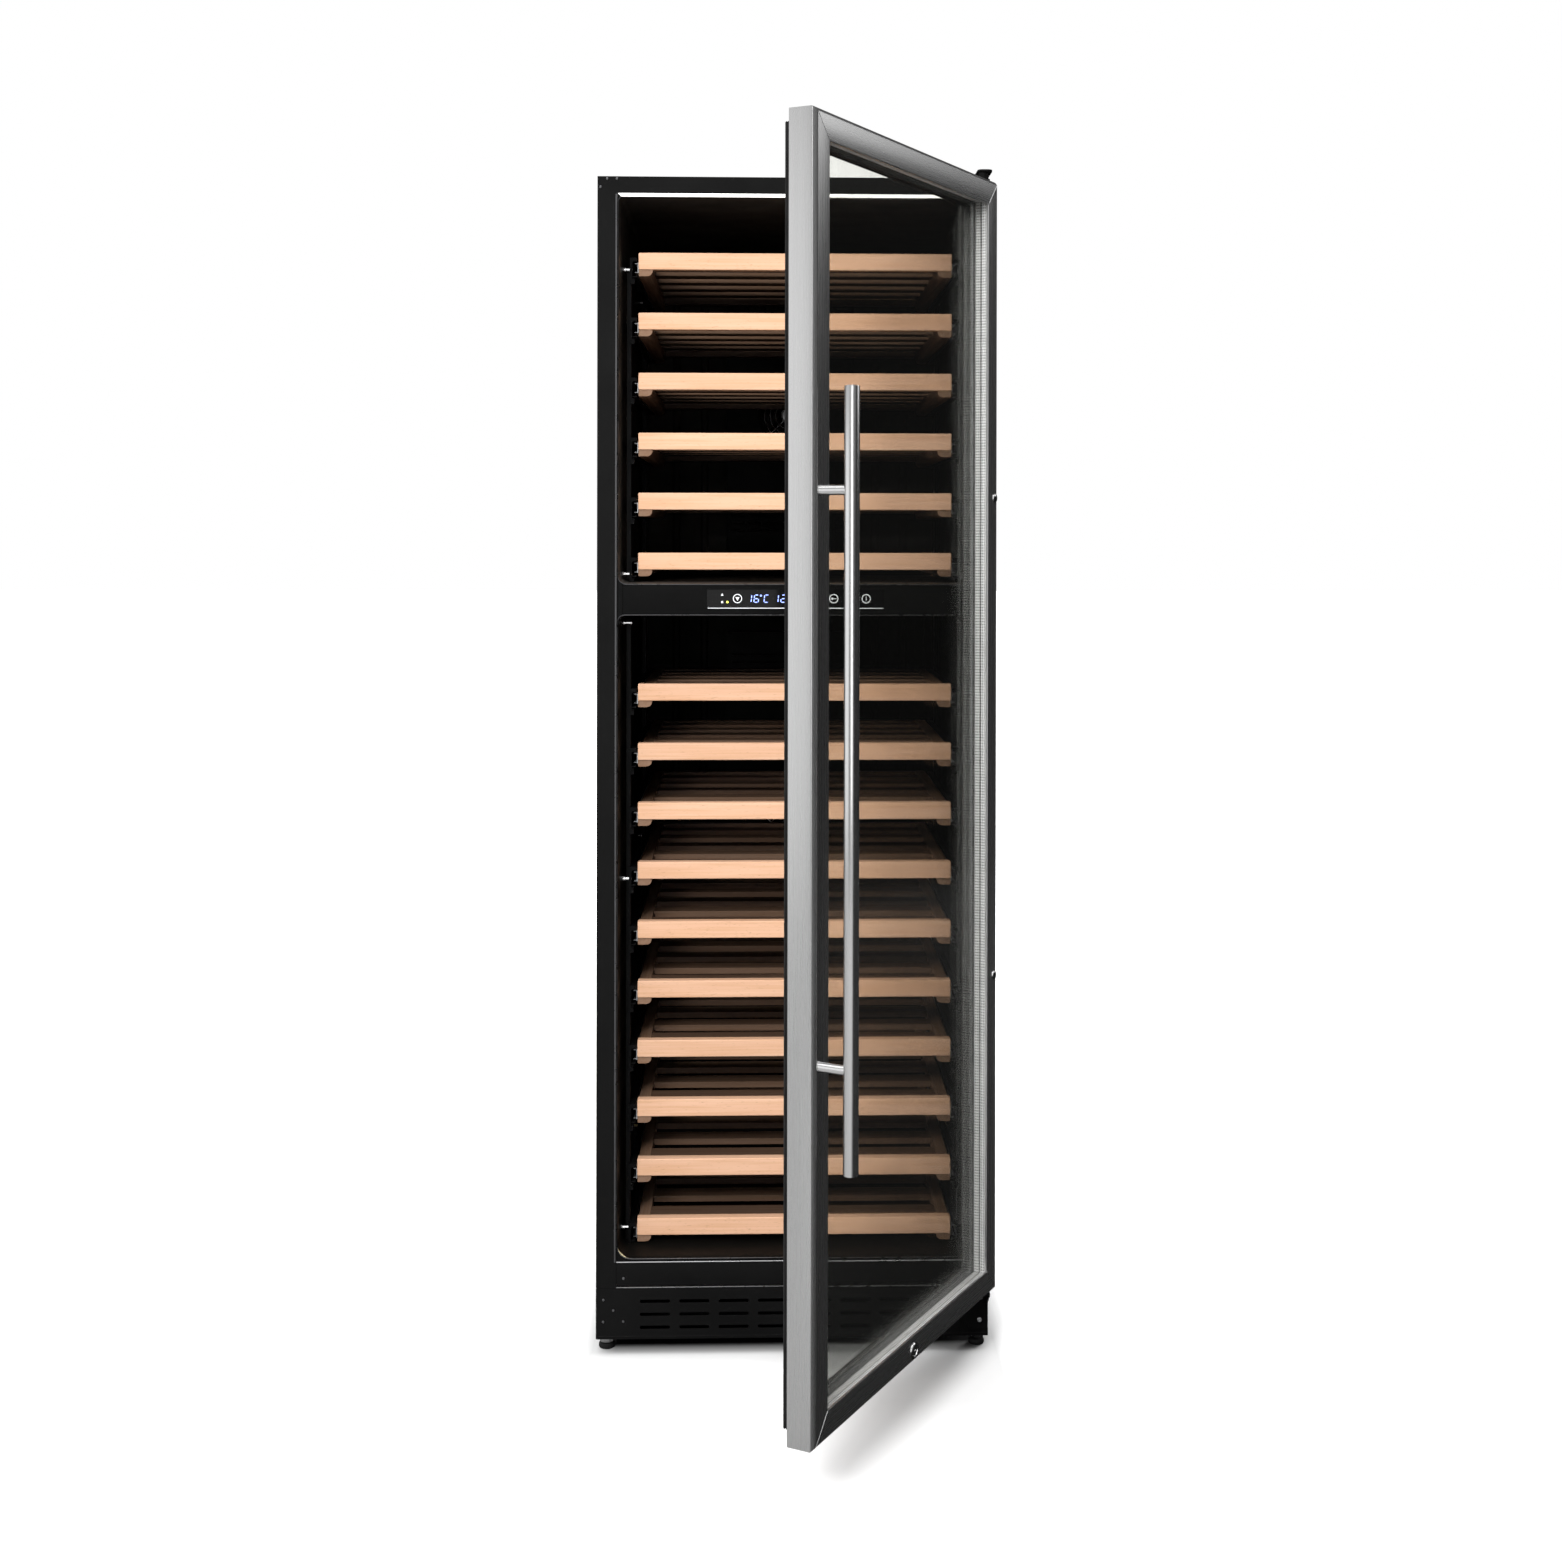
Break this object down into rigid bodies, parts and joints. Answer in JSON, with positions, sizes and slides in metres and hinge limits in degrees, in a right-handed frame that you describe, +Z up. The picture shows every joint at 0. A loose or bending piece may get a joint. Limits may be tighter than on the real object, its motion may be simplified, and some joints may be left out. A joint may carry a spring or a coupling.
{
  "type": "wine cooler",
  "caption": "Tall two-zone wine cooler: insulated black cabinet with sliding beech shelves, a control bar between the zones and a glazed steel-framed door with a tube handle.",
  "frame": {"origin": "middle of the bottom of the whole object's bounding box, with the door standing open as at rest, on the plane the feet stand on", "axes": "+Z up, +X across the front towards the hinge side, -Y out of the front towards the user"},
  "size_m": [0.597, 1.2074, 1.7763],
  "materials": {
    "black_steel": "satin black powder coat",
    "brushed_steel": "brushed stainless steel",
    "chrome": "bright chrome",
    "black_plastic": "satin moulded plastic",
    "display_gloss": "gloss black window",
    "door_glass": "clear low-emissivity glass",
    "beech": "clear oiled beech",
    "gasket_rubber": "matt black magnetic seal",
    "aluminium": "bare mill finish",
    "foam": "rigid polyurethane foam"
  },
  "bodies": {
    "cabinet": {"outer_shell": "black_steel", "front_frame": "black_steel", "back_panel": "black_steel", "kick_plate": "black_steel", "base_pan": "black_steel", "insulation": "foam", "upper_liner": "black_plastic", "lower_liner": "black_plastic", "control_bar": "black_plastic", "display_window": "display_gloss", "rack_upper_left": "black_steel", "rack_upper_right": "black_steel", "rack_lower_left": "black_steel", "rack_lower_right": "black_steel", "upper_air_duct": "black_plastic", "lower_air_duct": "black_plastic", "compressor": "black_steel", "condenser": "aluminium", "condenser_fan_frame": "black_plastic", "power_inlet": "black_plastic", "top_hinge": "black_steel", "bottom_hinge": "black_steel"},
    "door": {"door_hinge_stile": "brushed_steel", "door_handle_stile": "brushed_steel", "door_top_rail": "brushed_steel", "door_bottom_rail": "brushed_steel", "door_inner_frame": "black_plastic", "door_gasket": "gasket_rubber", "outer_glass": "door_glass", "middle_glass": "door_glass", "inner_glass": "door_glass", "outer_spacer": "aluminium", "inner_spacer": "aluminium", "handle_tube": "brushed_steel", "handle_post_lower": "brushed_steel", "handle_post_upper": "brushed_steel"},
    "lock": {"lock_plug": "chrome"},
    "shelf_upper_01": {"shelf_upper_01": "beech"},
    "shelf_upper_02": {"shelf_upper_02": "beech"},
    "shelf_upper_03": {"shelf_upper_03": "beech"},
    "shelf_upper_04": {"shelf_upper_04": "beech"},
    "shelf_upper_05": {"shelf_upper_05": "beech"},
    "shelf_upper_06": {"shelf_upper_06": "beech"},
    "shelf_lower_01": {"shelf_lower_01": "beech"},
    "shelf_lower_02": {"shelf_lower_02": "beech"},
    "shelf_lower_03": {"shelf_lower_03": "beech"},
    "shelf_lower_04": {"shelf_lower_04": "beech"},
    "shelf_lower_05": {"shelf_lower_05": "beech"},
    "shelf_lower_06": {"shelf_lower_06": "beech"},
    "shelf_lower_07": {"shelf_lower_07": "beech"},
    "shelf_lower_08": {"shelf_lower_08": "beech"},
    "shelf_lower_09": {"shelf_lower_09": "beech"},
    "shelf_lower_10": {"shelf_lower_10": "beech"},
    "upper_fan": {"upper_fan_rotor": "black_plastic"},
    "lower_fan": {"lower_fan_rotor": "black_plastic"},
    "condenser_fan": {"condenser_fan_rotor": "black_plastic"},
    "foot_front_left": {"foot_front_left": "black_plastic"},
    "foot_front_right": {"foot_front_right": "black_plastic"},
    "foot_rear_left": {"foot_rear_left": "black_plastic"},
    "foot_rear_right": {"foot_rear_right": "black_plastic"}
  },
  "joints": [
    {"name": "door_swing", "type": "hinge", "parent": "cabinet", "child": "door", "pos_m": [0.27746, -0.06824, 0.93], "axis": [0, 0, 1], "range_deg": [-61.08, 48.9]},
    {"name": "lock_turn", "type": "hinge", "parent": "door", "child": "lock", "pos_m": [0.15908, -0.32387, 0.123], "axis": [0.8753, -0.4836, 0], "range_deg": [0, 90]},
    {"name": "shelf_upper_01_slide", "type": "slide", "parent": "cabinet", "child": "shelf_upper_01", "axis": [0, -1, 0], "range_m": [0, 0.09]},
    {"name": "shelf_upper_02_slide", "type": "slide", "parent": "cabinet", "child": "shelf_upper_02", "axis": [0, -1, 0], "range_m": [0, 0.09]},
    {"name": "shelf_upper_03_slide", "type": "slide", "parent": "cabinet", "child": "shelf_upper_03", "axis": [0, -1, 0], "range_m": [0, 0.09]},
    {"name": "shelf_upper_04_slide", "type": "slide", "parent": "cabinet", "child": "shelf_upper_04", "axis": [0, -1, 0], "range_m": [0, 0.09]},
    {"name": "shelf_upper_05_slide", "type": "slide", "parent": "cabinet", "child": "shelf_upper_05", "axis": [0, -1, 0], "range_m": [0, 0.09]},
    {"name": "shelf_upper_06_slide", "type": "slide", "parent": "cabinet", "child": "shelf_upper_06", "axis": [0, -1, 0], "range_m": [0, 0.09]},
    {"name": "shelf_lower_01_slide", "type": "slide", "parent": "cabinet", "child": "shelf_lower_01", "axis": [0, -1, 0], "range_m": [0, 0.09]},
    {"name": "shelf_lower_02_slide", "type": "slide", "parent": "cabinet", "child": "shelf_lower_02", "axis": [0, -1, 0], "range_m": [0, 0.09]},
    {"name": "shelf_lower_03_slide", "type": "slide", "parent": "cabinet", "child": "shelf_lower_03", "axis": [0, -1, 0], "range_m": [0, 0.09]},
    {"name": "shelf_lower_04_slide", "type": "slide", "parent": "cabinet", "child": "shelf_lower_04", "axis": [0, -1, 0], "range_m": [0, 0.09]},
    {"name": "shelf_lower_05_slide", "type": "slide", "parent": "cabinet", "child": "shelf_lower_05", "axis": [0, -1, 0], "range_m": [0, 0.09]},
    {"name": "shelf_lower_06_slide", "type": "slide", "parent": "cabinet", "child": "shelf_lower_06", "axis": [0, -1, 0], "range_m": [0, 0.09]},
    {"name": "shelf_lower_07_slide", "type": "slide", "parent": "cabinet", "child": "shelf_lower_07", "axis": [0, -1, 0], "range_m": [0, 0.09]},
    {"name": "shelf_lower_08_slide", "type": "slide", "parent": "cabinet", "child": "shelf_lower_08", "axis": [0, -1, 0], "range_m": [0, 0.09]},
    {"name": "shelf_lower_09_slide", "type": "slide", "parent": "cabinet", "child": "shelf_lower_09", "axis": [0, -1, 0], "range_m": [0, 0.09]},
    {"name": "shelf_lower_10_slide", "type": "slide", "parent": "cabinet", "child": "shelf_lower_10", "axis": [0, -1, 0], "range_m": [0, 0.09]},
    {"name": "upper_fan_spin", "type": "hinge", "parent": "cabinet", "child": "upper_fan", "pos_m": [-0.00354, 0.5208, 1.445], "axis": [0, 1, 0], "continuous": true},
    {"name": "lower_fan_spin", "type": "hinge", "parent": "cabinet", "child": "lower_fan", "pos_m": [-0.00354, 0.5208, 0.69], "axis": [0, 1, 0], "continuous": true},
    {"name": "condenser_fan_spin", "type": "hinge", "parent": "cabinet", "child": "condenser_fan", "pos_m": [-0.04554, 0.47976, 0.11], "axis": [1, 0, 0], "continuous": true},
    {"name": "foot_front_left_turn", "type": "hinge", "parent": "cabinet", "child": "foot_front_left", "pos_m": [-0.28454, -0.00024, 0.02], "axis": [0, 0, 1], "continuous": true},
    {"name": "foot_front_right_turn", "type": "hinge", "parent": "cabinet", "child": "foot_front_right", "pos_m": [0.27746, -0.00024, 0.02], "axis": [0, 0, 1], "continuous": true},
    {"name": "foot_rear_left_turn", "type": "hinge", "parent": "cabinet", "child": "foot_rear_left", "pos_m": [-0.28454, 0.55476, 0.02], "axis": [0, 0, 1], "continuous": true},
    {"name": "foot_rear_right_turn", "type": "hinge", "parent": "cabinet", "child": "foot_rear_right", "pos_m": [0.27746, 0.55476, 0.02], "axis": [0, 0, 1], "continuous": true}
  ]
}
